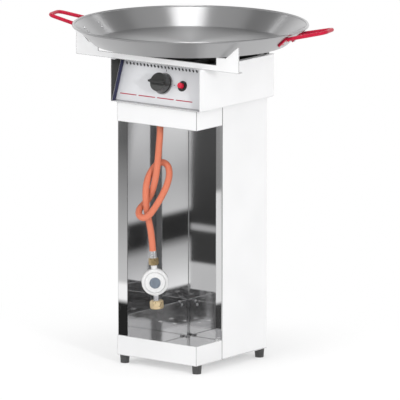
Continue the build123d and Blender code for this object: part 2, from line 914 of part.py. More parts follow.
def make_pilot_bracket():
    """The bracket that carries the electrode and the thermocouple."""
    low = box_floor + sheet / 2
    high = tab_z - sheet / 2
    line = [
        (bracket_back + bracket_foot, low),
        (bracket_back, low),
        (bracket_back, high),
        (bracket_back - bracket_tab, high),
    ]
    bracket = bent_sheet(Plane.YZ.offset(bracket_left), line, bracket_width)
    for place, radius in ((electrode_place, electrode_radius), (thermocouple_place, thermocouple_radius)):
        bracket -= Pos(*place) * rod(radius + hole_gap, tab_z - sheet, tab_z)
    return bracket


def probe(place, radius, collar):
    """A round probe that hangs in the bracket by its collar."""
    body = rod(radius, tab_z - probe_below, tab_z + probe_above)
    return Pos(*place) * (body + rod(collar, tab_z, tab_z + probe_collar_height))


def make_spark_electrode():
    """The ceramic electrode with its wire bent towards the ring."""
    x, y = electrode_place
    turn = atan2(y, x)
    top = tab_z + probe_above
    wire_z = ring_top + spark_clear
    tip = (x + spark_reach * cos(turn), y + spark_reach * sin(turn), wire_z)
    wire = tube([(x, y, top - spark_wire), (x, y, wire_z), tip], spark_bend, spark_wire)
    return probe(electrode_place, electrode_radius, electrode_collar) + wire


def make_thermocouple():
    """The thermocouple's probe."""
    return probe(thermocouple_place, thermocouple_radius, thermocouple_collar)


def make_ignition_lead():
    """The insulated lead from the igniter to the electrode."""
    start = (igniter_place * Pos(0, 0, -igniter_length)).position
    end = Vector(*electrode_place, tab_z - probe_below)
    below = end - Vector(0, 0, lead_drop)
    beside = below + Vector(igniter_offset - end.X, lead_bend, -lead_bend)
    return tube([start, start - lead_end * outward, beside, below, end], lead_bend, lead_radius)


def make_thermocouple_lead():
    """The copper lead from the thermocouple to the end of the tap."""
    start = Vector(*thermocouple_place, tab_z - probe_below)
    end = (controls * Pos(0, 0, -tap_length)).position
    below = start - Vector(0, 0, lead_end)
    behind = end - lead_end * outward
    return tube([start, below, behind, end], capillary_bend, capillary_radius)


# Supply pipe and hose
inlet_low = box_floor + inlet_top
union_top = column_top - spigot_drop + spigot_engage
union_low = union_top - union_height
hose_top = union_low - ferrule_length
hose_start = Vector(hose_side, hose_y, hose_top)
knot_right = Vector(cos(radians(knot_turn)), sin(radians(knot_turn)), 0)
knot_forward = Vector(sin(radians(knot_turn)), -cos(radians(knot_turn)), 0)

# The route of the hose from its top end: to the right along the plane of the knot, forward of it, and up
hose_route = [
    (0, 0, 0),
    (0, 0, -30),
    (-3.5, 3.5, -72),
    (-6.5, 7, -108),
    (-10.5, 6, -141.5),
    (-17, -4, -174),
    (-26.5, -16.5, -202),
    (-41, -21.5, -219),
    (-55, -10.5, -232),
    (-53, 9.5, -246.5),
    (-33, 20.5, -248),
    (-13.5, 18, -222),
    (3.5, 12, -194),
    (17, 6, -167),
    (24.5, 0, -138),
    (19.5, -9.5, -114.5),
    (0, -16.5, -108),
    (-18.5, -14.5, -125),
    (-31.5, -7, -148.5),
    (-37, 0, -177),
    (-36, 1, -212),
    (-31, -3, -248.5),
    (-21.5, 0, -293.5),
    (-18.5, 0, -335.5),
]
hose_points = [hose_start + knot_right * u + knot_forward * w + Vector(0, 0, v) for u, w, v in hose_route]
hose_end = hose_points[-1]
hanging = Plane(origin=hose_end, x_dir=knot_right, z_dir=hose_points[-2] - hose_end)
regulator_middle = -ferrule_length - union_height - regulator_neck - regulator_radius
stem_top = regulator_middle - regulator_radius
nut_top = stem_top - stem_length
nut_low = nut_top - cylinder_nut_height
seat_z = nut_top - cylinder_nut_lip - moving_gap


def arc_radii(points):
    """The largest arcs that the runs of a route allow at its corners."""
    radii = []
    for before, corner, after in zip(points, points[1:], points[2:]):
        first = corner - before
        second = after - corner
        turn = radians(first.get_angle(second))
        radii.append(arc_share * min(first.length, second.length) / tan(turn / 2))
    return radii


def least_gap(path, diameter, steps=420, apart=50):
    """The least gap of a tube to itself, measured on points along its middle line."""
    points = [path @ (n / steps) for n in range(steps + 1)]
    skip = int(apart / path.length * steps)
    pairs = [(a, b) for n, a in enumerate(points) for b in points[n + skip:]]
    return min((a - b).length for a, b in pairs) - diameter


def make_gas_hose():
    """The rubber hose, hanging from its top ferrule in a loose overhand knot."""
    radii = arc_radii(hose_points)
    path = FilletPolyline(*hose_points, radius=radii)
    hose = sweep(Plane(origin=path @ 0, z_dir=path % 0) * Circle(hose_diameter / 2), path=path)
    print("hose radii", [round(r) for r in radii])
    print("hose length", round(path.length, 1))
    print("least gap of the hose to itself", round(least_gap(path, hose_diameter), 2))
    section = pi * hose_diameter**2 / 4
    print("hose volume", round(hose.volume), "section times length", round(section * path.length))
    return hose


def make_supply_pipe():
    """The pipe from the tap's inlet down to the inlet fitting."""
    points = [
        (inlet_end, hose_y, inlet_z),
        (hose_side, hose_y, inlet_z),
        (hose_side, hose_y, inlet_low),
    ]
    return tube(points, pipe_bend, pipe_radius)


def make_inlet_fitting():
    """The brass inlet through the floor of the box, with its spigot for the hose nut."""
    fitting = hex_bar(inlet_across, box_floor, box_floor + inlet_collar)
    fitting += rod(inlet_neck, box_floor, inlet_low)
    fitting += rod(spigot_radius, column_top - spigot_drop, box_floor)
    return Pos(hose_side, hose_y, 0) * fitting


def make_hose_nut_top():
    """The union nut on the inlet's spigot."""
    bore = rod(spigot_radius + running_fit, column_top - spigot_drop, union_top)
    return Pos(hose_side, hose_y, 0) * (chamfered_hex(union_across, union_low, union_top) - bore)


def ferrule(low):
    """A pressed ferrule with two crimped waists."""
    third = ferrule_length / 3
    waist = ferrule_radius - crimp_depth
    half = crimp_width / 2
    shape = [(0, low), (ferrule_radius, low)]
    for n in (1, 2):
        z = low + n * third
        shape += [(ferrule_radius, z - crimp_width), (waist, z - half), (waist, z + half)]
        shape += [(ferrule_radius, z + crimp_width)]
    high = low + ferrule_length
    return turned(shape + [(ferrule_radius, high), (0, high)])


def make_hose_ferrule_top():
    """The ferrule at the top of the hose."""
    return Pos(hose_side, hose_y, 0) * ferrule(hose_top)


def make_hose_ferrule():
    """The ferrule at the lower end of the hose."""
    return hanging * ferrule(-ferrule_length)


def make_hose_nut():
    """The union nut between the ferrule and the regulator."""
    high = -ferrule_length
    return hanging * chamfered_hex(union_across, high - union_height, high)


def make_regulator_body():
    """The regulator: a round die-cast case with a raised front, a neck above and a boss below."""
    cap_seat = regulator_depth - regulator_cap_height / 2
    cap_edge = regulator_cap_radius + hole_gap
    shape = [
        (0, cap_seat),
        (cap_edge, cap_seat),
        (cap_edge, regulator_depth),
        (regulator_face, regulator_depth - regulator_edge),
        (regulator_step, regulator_rim + regulator_edge),
        (regulator_radius - regulator_edge, regulator_rim + regulator_edge / 2),
        (regulator_radius, regulator_rim - regulator_edge / 2),
        (regulator_radius, regulator_edge / 2 - regulator_rim),
        (regulator_radius - regulator_edge, -regulator_rim - regulator_edge / 2),
        (regulator_back, -regulator_rim - regulator_edge),
        (regulator_back - regulator_edge, regulator_edge - regulator_depth),
        (0, -regulator_depth),
    ]
    case = Pos(0, 0, regulator_middle) * Rot(90, 0, 0) * turned(shape)
    case += rod(regulator_neck_radius, regulator_middle, regulator_middle + regulator_radius + regulator_neck)
    return hanging * (case + rod(boss_radius, stem_top, regulator_middle))


def make_regulator_cap():
    """The round plastic cap in the front of the regulator."""
    low = regulator_depth - regulator_cap_height / 2
    high = low + regulator_cap_height
    shape = [
        (0, low),
        (regulator_cap_radius, low),
        (regulator_cap_radius, high - regulator_edge / 2),
        (regulator_cap_radius - regulator_edge / 2, high),
        (0, high),
    ]
    return hanging * Pos(0, 0, regulator_middle) * Rot(90, 0, 0) * turned(shape)


def make_cylinder_stem():
    """The stem below the regulator, with the flange that keeps the cylinder nut on it."""
    stem = rod(stem_radius, seat_z - stem_flange_height, stem_top)
    return hanging * (stem + rod(stem_flange, seat_z - stem_flange_height, seat_z))


def make_cylinder_seal():
    """The rubber washer under the stem."""
    high = seat_z - stem_flange_height
    seal = rod(stem_flange - moving_gap, high - cylinder_seal, high)
    return hanging * (seal - rod(stem_flange / 2, high - cylinder_seal, high))


def make_cylinder_nut():
    """The loose brass nut that screws on a gas cylinder."""
    chamber_low = seat_z - stem_flange_height - cylinder_seal - moving_gap
    nut = chamfered_hex(cylinder_nut_across, nut_low, nut_top)
    nut -= rod(stem_radius + moving_gap, nut_low, nut_top)
    nut -= rod(stem_flange + moving_gap, chamber_low, nut_top - cylinder_nut_lip)
    return hanging * (nut - rod(cylinder_thread, nut_low, chamber_low))


# Nodes
nodes = {
    "base_tray": make_base_tray(),
    "column_shell": make_column_shell(),
    "top_frame": make_top_frame(),
    "foot_screws": make_foot_screws(),
    "tray_rivets": make_tray_rivets(),
    "burner_box": make_burner_box(),
    "box_bolts": make_box_bolts(),
    "box_nuts": make_box_nuts(),
    "control_panel": make_control_panel(),
    "panel_screws": make_panel_screws(),
    "front_bar": make_front_bar(),
    "rear_bar": make_rear_bar(),
    "bar_screws": make_bar_screws(),
    "burner_ring": make_burner_ring(),
    "mixing_tube": make_mixing_tube(),
    "burner_leg_left": make_burner_leg(-1),
    "burner_leg_right": make_burner_leg(1),
    "pilot_bracket": make_pilot_bracket(),
    "spark_electrode": make_spark_electrode(),
    "ignition_lead": make_ignition_lead(),
    "thermocouple": make_thermocouple(),
    "thermocouple_lead": make_thermocouple_lead(),
    "gas_tap": make_gas_tap(),
    "tap_nut": make_tap_nut(),
    "injector": make_injector(),
    "tap_spindle": make_tap_spindle(),
    "tap_push_rod": make_push_rod(),
    "control_knob": make_control_knob(),
    "knob_bezel": make_knob_bezel(),
    "igniter_housing": make_igniter_housing(),
    "igniter_nut": make_igniter_nut(),
    "igniter_button": make_igniter_button(),
    "supply_pipe": make_supply_pipe(),
    "inlet_fitting": make_inlet_fitting(),
    "hose_nut_top": make_hose_nut_top(),
    "hose_ferrule_top": make_hose_ferrule_top(),
    "gas_hose": make_gas_hose(),
    "hose_ferrule": make_hose_ferrule(),
    "hose_nut": make_hose_nut(),
    "regulator_body": make_regulator_body(),
    "regulator_cap": make_regulator_cap(),
    "cylinder_stem": make_cylinder_stem(),
    "cylinder_seal": make_cylinder_seal(),
    "cylinder_nut": make_cylinder_nut(),
    "pan": make_pan(),
    "handle_left": make_handle("left"),
    "handle_right": make_handle("right"),
    "handle_rivets": make_handle_rivets(),
}
for corner, (x, y) in foot_places().items():
    nodes[f"foot_{corner}"] = Pos(x, y, 0) * make_foot()

os.makedirs("parts", exist_ok=True)
for name, shape in nodes.items():
    solid = Compound(children=shape) if isinstance(shape, list) else shape
    export_step(solid, f"parts/{name}.step")
print(len(nodes), "nodes, pan top at", pan_top)
print("tap axis", controls.origin, controls.z_dir)
print("hose end", hanging.origin, hanging.z_dir, "cylinder nut from", nut_top, "to", nut_low)
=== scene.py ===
# %% [markdown]
# A gas grill on a sheet-metal column, with a wide pan on top and a knotted hose inside. The solid
# pieces come from the imported frame, at their real size, and this lesson gives them their
# finishes. At the end the dressed grill has to fit in it.

# %% Load the frame
import bpy
import json
from math import cos, pi, radians, sin
from mathutils import Matrix, Vector


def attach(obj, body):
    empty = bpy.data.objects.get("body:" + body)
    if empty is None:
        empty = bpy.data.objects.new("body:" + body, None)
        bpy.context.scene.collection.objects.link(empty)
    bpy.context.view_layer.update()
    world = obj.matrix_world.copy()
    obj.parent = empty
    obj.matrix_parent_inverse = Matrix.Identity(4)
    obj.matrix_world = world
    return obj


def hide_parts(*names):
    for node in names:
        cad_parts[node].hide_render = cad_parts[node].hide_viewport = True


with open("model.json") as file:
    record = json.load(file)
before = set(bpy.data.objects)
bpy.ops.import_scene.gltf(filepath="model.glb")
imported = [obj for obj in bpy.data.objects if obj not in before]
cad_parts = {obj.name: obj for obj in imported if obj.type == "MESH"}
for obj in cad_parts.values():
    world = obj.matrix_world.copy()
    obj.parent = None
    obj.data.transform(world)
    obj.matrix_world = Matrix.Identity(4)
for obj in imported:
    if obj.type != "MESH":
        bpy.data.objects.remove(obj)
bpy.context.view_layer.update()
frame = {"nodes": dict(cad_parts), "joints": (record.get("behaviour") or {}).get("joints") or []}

# %% [markdown]
# The camera comes first, since every later choice is judged through it. A long lens from far away
# keeps upright edges upright, as in a catalogue picture. Its axes are worked out from an azimuth
# and an elevation, so the view can be read and changed as two angles.

# %% Camera
def axes_at(origin, across, up, out):
    """A matrix that stands an object at a point, with its X, Y and Z along three directions."""
    return Matrix.Translation(origin) @ Matrix((across, up, out)).transposed().to_4x4()


azimuth = radians(37.20)
elevation = radians(10.51)
roll = radians(0.08)
camera_target = Vector((0.0196, 0.0149, 0.41505))
camera_distance = 17.857
lens_mm = 632.9
sensor_mm = 36
sight_end = 100
level = Vector((cos(azimuth), sin(azimuth), 0))
back = Vector((sin(azimuth) * cos(elevation), -cos(azimuth) * cos(elevation), sin(elevation)))
right = cos(roll) * level + sin(roll) * back.cross(level)
camera_data = bpy.data.cameras.new("camera")
camera_data.lens = lens_mm
camera_data.sensor_width = sensor_mm
camera_data.clip_end = sight_end
camera = bpy.data.objects.new("camera", camera_data)
bpy.context.scene.collection.objects.link(camera)
camera_place = camera_target + camera_distance * back
camera.matrix_world = axes_at(camera_place, right, back.cross(right), back)
bpy.context.scene.camera = camera
bpy.context.scene.view_settings.view_transform = "Standard"
print("camera at", tuple(round(v, 3) for v in camera.matrix_world.translation))

# %% [markdown]
# The gas hose hangs from its top ferrule in a loose overhand knot, with the regulator's weight on
# its lower end. Its control points are listed one by one. Each one says how far it lies to the
# right, ahead and up from the top of the hose, with right and ahead turned towards the column's
# open corner, where the knot is laid out flat.

# %% Route of the hose
hose_start = Vector((-0.023, -0.09562, 0.631))
knot_turn = radians(37.2)
knot_right = Vector((cos(knot_turn), sin(knot_turn), 0))
knot_forward = Vector((sin(knot_turn), -cos(knot_turn), 0))
hose_route = [
    (0, 0, 0),
    (0, 0, -0.030),
    (-0.0035, 0.0035, -0.072),
    (-0.0065, 0.007, -0.108),
    (-0.0105, 0.006, -0.1415),
    (-0.017, -0.004, -0.174),
    (-0.0265, -0.0165, -0.202),
    (-0.041, -0.0215, -0.219),
    (-0.055, -0.0105, -0.232),
    (-0.053, 0.0095, -0.2465),
    (-0.033, 0.0205, -0.248),
    (-0.0135, 0.018, -0.222),
    (0.0035, 0.012, -0.194),
    (0.017, 0.006, -0.167),
    (0.0245, 0, -0.138),
    (0.0195, -0.0095, -0.1145),
    (0, -0.0165, -0.108),
    (-0.0185, -0.0145, -0.125),
    (-0.0315, -0.007, -0.1485),
    (-0.037, 0, -0.177),
    (-0.036, 0.001, -0.212),
    (-0.031, -0.003, -0.2485),
    (-0.0215, 0, -0.2935),
    (-0.0185, 0, -0.3355),
]
print("hose of", len(hose_route), "control points")

# %% [markdown]
# A hose is best drawn as a curve with a round bevel. One NURBS spline bends evenly along its
# control points, where a chain of straight runs would look like wire. The order is set after the
# points are there. The points carry the hose's radius, and the bevel multiplies it by one:
# Blender counts the points' radius in the curve's box, and this way the box is as slim as the
# hose. The walls round the hose are mirrors and would repeat it many times, so mirrors don't see
# the hose or the pieces that hang on it.

# %% Gas hose
hose_diameter = 0.017
steps_round = 8
steps_along = 10
curve = bpy.data.curves.new("hose", "CURVE")
curve.dimensions = "3D"
curve.bevel_depth = 1.0
curve.bevel_resolution = steps_round
curve.resolution_u = steps_along
curve.use_fill_caps = True
spline = curve.splines.new("NURBS")
spline.points.add(len(hose_route) - 1)
for point, (along, ahead, height) in zip(spline.points, hose_route):
    place = hose_start + along * knot_right + ahead * knot_forward + Vector((0, 0, height))
    point.co = (*place, 1)
    point.radius = hose_diameter / 2
spline.order_u = 3
spline.use_endpoint_u = True
hose = bpy.data.objects.new("hose", curve)
bpy.context.scene.collection.objects.link(hose)
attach(hose, "grill")
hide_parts("gas_hose")
names_on_hose = [
    "hose_ferrule",
    "hose_nut",
    "regulator_body",
    "regulator_cap",
    "cylinder_stem",
    "cylinder_seal",
    "cylinder_nut",
]
pieces_on_hose = [frame["nodes"][name] for name in names_on_hose]
for piece in [hose] + pieces_on_hose:
    piece.visible_glossy = False

# %% [markdown]
# Every finish below is a small node tree with the same parts: a noise that is stretched the way
# the real surface was worked, a spread of that noise into roughness or colour, and a bump. Two
# helpers begin them all: one makes the material and one its noise. Values that are the same all
# over the surface are set on the shader itself.

# %% A material and its noise
def finish(name, colour, metallic=0.0, roughness=0.5):
    """A material with one Principled shader, and its node tree and shader."""
    material = bpy.data.materials.new(name)
    material.use_nodes = True
    tree = material.node_tree
    shader = tree.nodes["Principled BSDF"]
    shader.inputs["Base Color"].default_value = (*colour, 1)
    shader.inputs["Metallic"].default_value = metallic
    shader.inputs["Roughness"].default_value = roughness
    return material, tree, shader


def grain(tree, per_metre, detail=3.0):
    """A noise in the piece's own coordinates, with its spots to the metre along X, Y and Z."""
    place = tree.nodes.new("ShaderNodeTexCoord")
    stretch = tree.nodes.new("ShaderNodeMapping")
    stretch.inputs["Scale"].default_value = per_metre
    noise = tree.nodes.new("ShaderNodeTexNoise")
    noise.inputs["Scale"].default_value = 1
    noise.inputs["Detail"].default_value = detail
    tree.links.new(place.outputs["Object"], stretch.inputs["Vector"])
    tree.links.new(stretch.outputs["Vector"], noise.inputs["Vector"])
    return noise.outputs["Fac"]


print("helpers for a material and its noise are ready")

# %% [markdown]
# Screws, rivets and bolts are plain steel with a fine, even skin from being headed and tumbled. A
# noise in the roughness is enough for them, and a bump would be lost at their size. The screws of
# the bars carry a painted shade: they sit in shadow, so their steel is coloured nearly black.

# %% Fasteners
noise_low = 0.3
noise_high = 0.7


def fade(tree, value, start, end, low=0.0, high=1.0, kind="SMOOTHSTEP"):
    """A step from a low to a high value, soft unless its kind is LINEAR."""
    step = tree.nodes.new("ShaderNodeMapRange")
    step.interpolation_type = kind
    step.inputs["From Min"].default_value = start
    step.inputs["From Max"].default_value = end
    step.inputs["To Min"].default_value = low
    step.inputs["To Max"].default_value = high
    tree.links.new(value, step.inputs["Value"])
    return step.outputs["Result"]


def spread(tree, shader, noise, low, high):
    """Sends a noise to the shader's roughness, from a low to a high value."""
    rough = fade(tree, noise, noise_low, noise_high, low, high, "LINEAR")
    tree.links.new(rough, shader.inputs["Roughness"])


def dress(material, *nodes):
    """Puts a material on the frame's nodes."""
    for node in nodes:
        for place in frame["nodes"][node].material_slots:
            place.material = material
    print(material.name, "on", ", ".join(nodes))


bolt_grain = (400, 400, 400)
bolt_steel, tree, shader = finish("bolt_steel", (0.62, 0.62, 0.63), metallic=1.0)
spread(tree, shader, grain(tree, bolt_grain), low=0.28, high=0.42)
dress(bolt_steel, "foot_screws", "tray_rivets", "box_bolts", "box_nuts")
dress(bolt_steel, "panel_screws", "handle_rivets", "tap_spindle", "tap_push_rod")
# Painted shade: the screws of the bars sit in shadow, so their steel is coloured nearly black.
bar_screw_shade, tree, shader = finish("bar_screw_shade", (0.10, 0.10, 0.10), metallic=1.0)
spread(tree, shader, grain(tree, bolt_grain), low=0.35, high=0.50)
dress(bar_screw_shade, "bar_screws")

# %% [markdown]
# The burner is sand-cast iron, and the sand of the mould leaves a coarse skin. Modelled grains
# would need a very fine mesh. One sharp noise can stand for them: where it is low, the iron is
# darker, smoother and lower, so the skin shows without any change to the mesh.

# %% Cast burner
bump_strength = 0.6


def mottle(tree, shader, noise, dark, light):
    """Sends a noise to the shader's base colour, between two colours."""
    ramp = tree.nodes.new("ShaderNodeValToRGB")
    ramp.color_ramp.elements[0].position = noise_low
    ramp.color_ramp.elements[0].color = (*dark, 1)
    ramp.color_ramp.elements[1].position = noise_high
    ramp.color_ramp.elements[1].color = (*light, 1)
    tree.links.new(noise, ramp.inputs["Fac"])
    tree.links.new(ramp.outputs["Color"], shader.inputs["Base Color"])


def relief(tree, shader, height, depth):
    """Raises the surface where a value is high, by a depth in metres."""
    bump = tree.nodes.new("ShaderNodeBump")
    bump.inputs["Strength"].default_value = bump_strength
    bump.inputs["Distance"].default_value = depth
    tree.links.new(height, bump.inputs["Height"])
    tree.links.new(bump.outputs["Normal"], shader.inputs["Normal"])


iron_light = (0.10, 0.10, 0.10)
iron_dark = (0.04, 0.04, 0.04)
cast_iron, tree, shader = finish("cast_iron", iron_light, metallic=0.6)
sand = grain(tree, (900, 900, 900), detail=5.0)
mottle(tree, shader, sand, iron_dark, iron_light)
spread(tree, shader, sand, low=0.55, high=0.80)
relief(tree, shader, sand, depth=0.0003)
dress(cast_iron, "burner_ring", "mixing_tube")

# %% [markdown]
# The handles are steel rod with a thick gloss coat of red. A low roughness alone would give them
# one broad shine. A coat layer over the colour adds the sharp highlight of paint, and a low,
# broad bump stands for its slight orange peel.

# %% Red gloss paint
red_light = (0.48, 0.0048, 0.037)
red_dark = (0.38, 0.0034, 0.026)
red_paint, tree, shader = finish("red_paint", red_light, roughness=0.3)
shader.inputs["Coat Weight"].default_value = 0.15
shader.inputs["Coat Roughness"].default_value = 0.08
shader.inputs["Specular IOR Level"].default_value = 0.25
peel = grain(tree, (300, 300, 300), detail=1.0)
mottle(tree, shader, peel, red_dark, red_light)
relief(tree, shader, peel, depth=0.00005)
dress(red_paint, "handle_left", "handle_right")

# %% [markdown]
# The hose is salmon-orange rubber with a talc-dull skin, and the feet, seal and ignition lead are
# black rubber. They differ only in colour and dullness, so one function makes them all.

# %% Rubber
rubber_skin = (500, 500, 500)
rubber_spread = 0.06


def rubber(name, dark, light, roughness):
    """Rubber with a fine dull skin."""
    material, tree, shader = finish(name, light)
    skin = grain(tree, rubber_skin)
    mottle(tree, shader, skin, dark, light)
    spread(tree, shader, skin, roughness - rubber_spread, roughness + rubber_spread)
    relief(tree, shader, skin, depth=0.00008)
    return material


hose_rubber = rubber("hose_rubber", (0.55, 0.145, 0.078), (0.65, 0.195, 0.110), roughness=0.5)
hose.data.materials.append(hose_rubber)
black_rubber = rubber(
    "black_rubber", (0.018, 0.018, 0.018), (0.035, 0.035, 0.035), roughness=0.65
)
dress(black_rubber, "cylinder_seal", "ignition_lead")
foot_rubber = rubber("foot_rubber", (0.036, 0.036, 0.036), (0.066, 0.066, 0.066), roughness=0.55)
dress(foot_rubber, "foot_front_left", "foot_front_right", "foot_rear_left", "foot_rear_right")

# %% [markdown]
# Gas fittings are turned from bar. Turning leaves fine rings, and handling dulls the metal
# unevenly. The rings are a noise with many spots along Z, since most of the fittings hang nearly
# upright. The tap and the unions are dull brass. The large cylinder nut is paler, and only part
# of it mirrors. The pressed ferrules on the hose are the brightest, and the knob's ring is dull.

# %% Brass, aluminium and copper
turned_rings = (60, 60, 1500)
dull_spots = (120, 120, 120)
polish_spread = 0.06
dull_spread = 0.08


def turned_metal(name, dark, light, roughness, metallic=1.0):
    """Turned bar with fine rings and dull spots."""
    material, tree, shader = finish(name, light, metallic=metallic)
    dull = grain(tree, dull_spots, detail=4.0)
    mottle(tree, shader, dull, dark, light)
    spread(tree, shader, dull, roughness - polish_spread, roughness + dull_spread)
    relief(tree, shader, grain(tree, turned_rings), depth=0.00002)
    return material


tap_brass = turned_metal("tap_brass", (0.48, 0.35, 0.18), (0.64, 0.49, 0.27), roughness=0.30)
dress(tap_brass, "gas_tap", "tap_nut", "injector", "inlet_fitting", "hose_nut_top", "hose_nut")
nut_brass = turned_metal(
    "nut_brass", (0.70, 0.54, 0.31), (0.82, 0.66, 0.42), roughness=0.30, metallic=0.6
)
dress(nut_brass, "cylinder_nut")
pipe_metal = turned_metal("pipe_metal", (0.58, 0.58, 0.60), (0.72, 0.72, 0.74), roughness=0.28)
dress(pipe_metal, "supply_pipe", "thermocouple", "cylinder_stem")
ferrule_metal = turned_metal(
    "ferrule_metal", (0.76, 0.76, 0.77), (0.88, 0.88, 0.89), roughness=0.16
)
dress(ferrule_metal, "hose_ferrule_top", "hose_ferrule")
ring_metal = turned_metal("ring_metal", (0.42, 0.42, 0.43), (0.52, 0.52, 0.53), roughness=0.55)
dress(ring_metal, "knob_bezel")
copper = turned_metal("copper", (0.50, 0.22, 0.12), (0.66, 0.33, 0.20), roughness=0.30)
dress(copper, "thermocouple_lead")

# %% [markdown]
# The igniter is moulded plastic with a fine sparked texture from the mould. The regulator is cast
# and painted white, its cap is grey plastic, and the electrode is glazed ceramic. All of them are
# a pale or dark body with a fine texture, of so many spots to the metre.

# %% Plastic, white paint and ceramic
moulded_spread = 0.05
moulded_depth = 0.00004


def moulded(name, dark, light, roughness, texture, depth=moulded_depth):
    """A moulded or coated surface with a fine texture, which is raised if it has a depth."""
    material, tree, shader = finish(name, light)
    spots = grain(tree, (texture, texture, texture))
    mottle(tree, shader, spots, dark, light)
    spread(tree, shader, spots, roughness - moulded_spread, roughness + moulded_spread)
    if depth:
        relief(tree, shader, spots, depth)
    return material


black_plastic = moulded(
    "black_plastic", (0.010, 0.010, 0.010), (0.022, 0.023, 0.024), roughness=0.32, texture=700
)
dress(black_plastic, "igniter_housing", "igniter_nut")
red_plastic = moulded(
    "red_plastic", (0.58, 0.010, 0.035), (0.70, 0.014, 0.052), roughness=0.28, texture=500
)
dress(red_plastic, "igniter_button")
white_paint = moulded(
    "white_paint", (0.60, 0.60, 0.60), (0.69, 0.69, 0.69), roughness=0.38, texture=300
)
dress(white_paint, "regulator_body")
grey_plastic = moulded(
    "grey_plastic", (0.10, 0.12, 0.15), (0.19, 0.225, 0.27), roughness=0.42, texture=250
)
dress(grey_plastic, "regulator_cap")
white_ceramic = moulded(
    "white_ceramic", (0.82, 0.81, 0.77), (0.90, 0.89, 0.85), roughness=0.15, texture=150
)
dress(white_ceramic, "spark_electrode")

# %% [markdown]
# Some finishes depend on where a point lies or which way a face looks. For these the node tree
# has to do small sums. Three helpers write them: one for numbers, one for vectors, and one that
# takes a vector apart.

# %% Sums in a node tree
def calc(tree, operation, first, second=0.0):
    """A math node on a socket and a socket or a number."""
    node = tree.nodes.new("ShaderNodeMath")
    node.operation = operation
    tree.links.new(first, node.inputs[0])
    if isinstance(second, bpy.types.NodeSocket):
        tree.links.new(second, node.inputs[1])
    else:
        node.inputs[1].default_value = second
    return node.outputs["Value"]


def vector_calc(tree, operation, first, second, result="Vector"):
    """A vector math node on a socket and a socket or a fixed vector."""
    node = tree.nodes.new("ShaderNodeVectorMath")
    node.operation = operation
    tree.links.new(first, node.inputs[0])
    if isinstance(second, bpy.types.NodeSocket):
        tree.links.new(second, node.inputs[1])
    else:
        node.inputs[1].default_value = second
    return node.outputs[result]


def parts_of(tree, vector):
    """The X, Y and Z of a vector."""
    parts = tree.nodes.new("ShaderNodeSeparateXYZ")
    tree.links.new(vector, parts.inputs["Vector"])
    return parts.outputs


print("helpers for sums are ready")

# %% [markdown]
# The knob's grip runs across its face, and the face is slightly scooped to both sides of it. Such
# a shallow scoop shows only in the gloss, so it is a bump: the surface drops with the height
# above or below the knob's axis, which comes from the knob's joint in the frame. A strong gloss
# makes it show on black.

# %% Knob
scoop_slope = -0.3


def inner(material):
    """A material's node tree and its shader."""
    return material.node_tree, material.node_tree.nodes["Principled BSDF"]


knob_joint = next(joint for joint in frame["joints"] if joint["name"] == "knob_turn")
knob_light = (0.026, 0.027, 0.026)
knob_dark = (0.012, 0.013, 0.012)
knob_plastic = moulded(
    "knob_plastic", knob_dark, knob_light, roughness=0.36, texture=700, depth=0
)
tree, shader = inner(knob_plastic)
shader.inputs["Specular IOR Level"].default_value = 1.0
place = tree.nodes.new("ShaderNodeTexCoord").outputs["Object"]
from_axis = vector_calc(tree, "SUBTRACT", place, knob_joint["pos_m"])
height = calc(tree, "ABSOLUTE", parts_of(tree, from_axis)["Z"])
relief(tree, shader, calc(tree, "MULTIPLY", height, scoop_slope), depth=1.0)
dress(knob_plastic, "control_knob")

# %% [markdown]
# The printing on the panel is four plain red rules and a few black ticks round the knob. Print is
# thin, but as a real plate a tenth of a millimetre high it stays where it is from any side. The
# panel's own plane comes from the axis of the knob's joint in the frame, so the print lies on the
# panel wherever the panel stands.

# %% Rules and ticks on the panel
print_height = 0.0001
end_steps = 8
panel_out = Vector(knob_joint["axis"]).normalized()
panel_side = Vector((1, 0, 0))
panel_up = panel_out.cross(panel_side)
panel_place = axes_at(Vector(knob_joint["pos_m"]), panel_side, panel_up, panel_out)


def printed_bar(name, length, width, place, material):
    """A thin bar with round ends that lies on the panel."""
    half = length / 2 - width / 2
    outline = []
    for end in (1, -1):
        for step in range(end_steps + 1):
            turn = pi * step / end_steps - end * pi / 2
            outline.append((end * half + width / 2 * cos(turn), width / 2 * sin(turn)))
    count = len(outline)
    corners = [(x, y, z) for z in (0, print_height) for x, y in outline]
    faces = [list(range(count, 2 * count)), list(reversed(range(count)))]
    faces += [(n, (n + 1) % count, count + (n + 1) % count, count + n) for n in range(count)]
    mesh = bpy.data.meshes.new(name)
    mesh.from_pydata(corners, [], faces)
    mesh.materials.append(material)
    bar = bpy.data.objects.new(name, mesh)
    bpy.context.scene.collection.objects.link(bar)
    bar.matrix_world = panel_place @ place
    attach(bar, "grill")


rule_count = 4
rule_length = 0.053
rule_pitch = 0.0590
rule_width = 0.0026
rule_first = -0.129
rule_drop = -0.0370
print_red = moulded(
    "print_red", (0.36, 0.012, 0.045), (0.46, 0.02, 0.06), roughness=0.5, texture=900
)
for number in range(rule_count):
    middle = rule_first + number * rule_pitch + rule_length / 2
    place = Matrix.Translation((middle, rule_drop, 0))
    name = f"panel_rule_{number + 1}"
    printed_bar(name, rule_length, rule_width, place, print_red)

tick_radius = 0.0345
tick_width = 0.0014
tick_turns_and_lengths = [(180, 0.003), (90, 0.006), (0, 0.0045)]
for number, (turn, length) in enumerate(tick_turns_and_lengths):
    place = Matrix.Rotation(radians(turn), 4, "Z") @ Matrix.Translation((tick_radius, 0, 0))
    name = f"dial_tick_{number + 1}"
    printed_bar(name, length, tick_width, place, black_plastic)
print("printed", rule_count, "rules and", len(tick_turns_and_lengths), "ticks")
